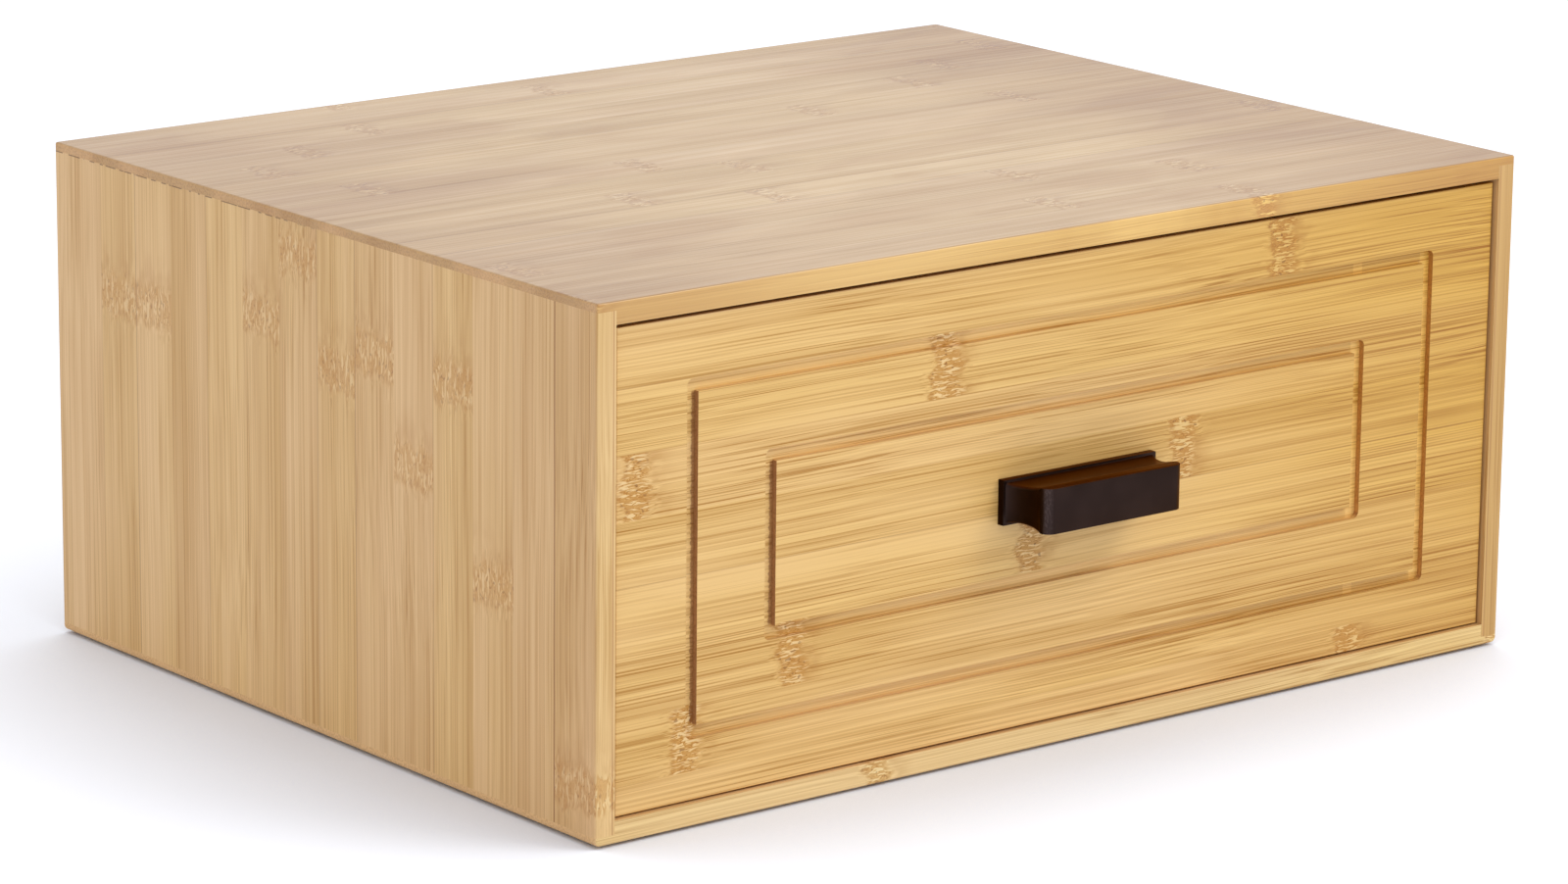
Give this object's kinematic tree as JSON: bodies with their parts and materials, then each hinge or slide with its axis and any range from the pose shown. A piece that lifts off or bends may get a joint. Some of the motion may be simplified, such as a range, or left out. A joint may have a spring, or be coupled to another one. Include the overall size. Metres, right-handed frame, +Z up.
{
  "type": "bread box with drawer",
  "caption": "Low rectangular bamboo bread box: an open-fronted case with a full-width drawer, routed outlines on the drawer front and a dark metal bar handle.",
  "frame": {"origin": "centre of the case's underside; the rubber feet reach 1 mm below it", "axes": "+Z up, +X to the right seen from the front, -Y out of the drawer's front"},
  "size_m": [0.4, 0.3345, 0.1775],
  "materials": {
    "case_bamboo": "clear satin lacquer over strips about 22 mm wide",
    "front_bamboo": "clear satin lacquer, golden, strips run left to right",
    "drawer_bamboo": "smooth, thin clear lacquer",
    "inner_bamboo": "smooth, thin clear lacquer",
    "dowel_wood": "plain turned pegs",
    "handle_bronze": "dark oil-rubbed bronze, satin",
    "screw_steel": "zinc plated",
    "foot_rubber": "matt"
  },
  "bodies": {
    "case": {"top_panel": "case_bamboo", "bottom_panel": "case_bamboo", "left_side_panel": "case_bamboo", "right_side_panel": "case_bamboo", "back_panel": "inner_bamboo", "left_guide_strip": "inner_bamboo", "right_guide_strip": "inner_bamboo", "left_stop_block": "inner_bamboo", "right_stop_block": "inner_bamboo", "front_left_foot": "foot_rubber", "front_right_foot": "foot_rubber", "rear_left_foot": "foot_rubber", "rear_right_foot": "foot_rubber"},
    "drawer": {"drawer_front": "front_bamboo", "drawer_left_side": "drawer_bamboo", "drawer_right_side": "drawer_bamboo", "drawer_back": "drawer_bamboo", "drawer_bottom": "drawer_bamboo", "front_left_dowels": "dowel_wood", "front_right_dowels": "dowel_wood", "back_left_dowels": "dowel_wood", "back_right_dowels": "dowel_wood", "handle": "handle_bronze", "handle_screw_left": "screw_steel", "handle_screw_right": "screw_steel", "handle_washer_left": "screw_steel", "handle_washer_right": "screw_steel"}
  },
  "joints": [
    {"name": "drawer_slide", "type": "slide", "parent": "case", "child": "drawer", "axis": [0, -1, 0], "range_m": [0, 0.24]}
  ]
}
